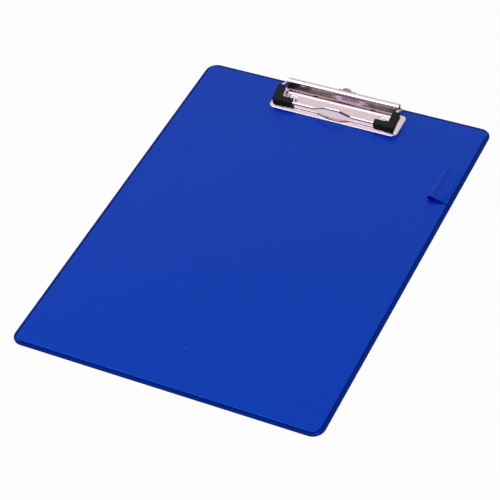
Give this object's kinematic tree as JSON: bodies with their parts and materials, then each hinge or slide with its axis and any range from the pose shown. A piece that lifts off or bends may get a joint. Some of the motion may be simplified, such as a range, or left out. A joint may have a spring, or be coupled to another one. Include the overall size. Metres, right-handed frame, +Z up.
{
  "type": "clipboard",
  "caption": "Plastic-covered clipboard with a nickel wire-bail clip, sprung lever, black corner guards, pull-out hanger and a pen loop in its edge.",
  "frame": {"origin": "middle of the board's flat back, on the surface that it lies on", "axes": "+X across the board to the right with the clip at the top, +Y along the board towards the clip, +Z up from the back"},
  "size_m": [0.24, 0.319, 0.0137],
  "materials": {
    "board": "grey-brown pressed millboard",
    "cover_sheet": "blue PVC sheet with a fine embossed grain",
    "nickel_sheet": "bright nickel-plated steel sheet",
    "nickel_wire": "bright nickel-plated spring wire",
    "nickel_rivet": "bright nickel-plated rivet",
    "pin_steel": "drawn zinc-plated steel",
    "spring_steel": "oiled spring steel",
    "hanger_sheet": "bright nickel-plated steel sheet",
    "guard_plastic": "black moulded plastic, satin"
  },
  "bodies": {
    "board": {"core_board": "board", "front_cover": "cover_sheet", "back_cover": "cover_sheet", "pen_loop": "cover_sheet", "clip_plate": "nickel_sheet", "hinge_pin": "pin_steel", "spring_left": "spring_steel", "spring_right": "spring_steel", "rivet_left": "nickel_rivet", "rivet_right": "nickel_rivet", "washer_left": "pin_steel", "washer_right": "pin_steel"},
    "clip": {"lever": "nickel_sheet", "bail_wire": "nickel_wire", "guard_left": "guard_plastic", "guard_right": "guard_plastic"},
    "hanger": {"hanger": "hanger_sheet"}
  },
  "joints": [
    {"name": "clip_hinge", "type": "hinge", "parent": "board", "child": "clip", "pos_m": [0, 0.1534, 0.0059], "axis": [-1, 0, 0], "range_deg": [0, 32], "stiffness_Nm_per_rad": 0.1, "springref_deg": -68.75, "deforming": ["spring_left", "spring_right"]},
    {"name": "hanger_slide", "type": "slide", "parent": "board", "child": "hanger", "axis": [0, 1, 0], "range_m": [0, 0.0125]}
  ]
}
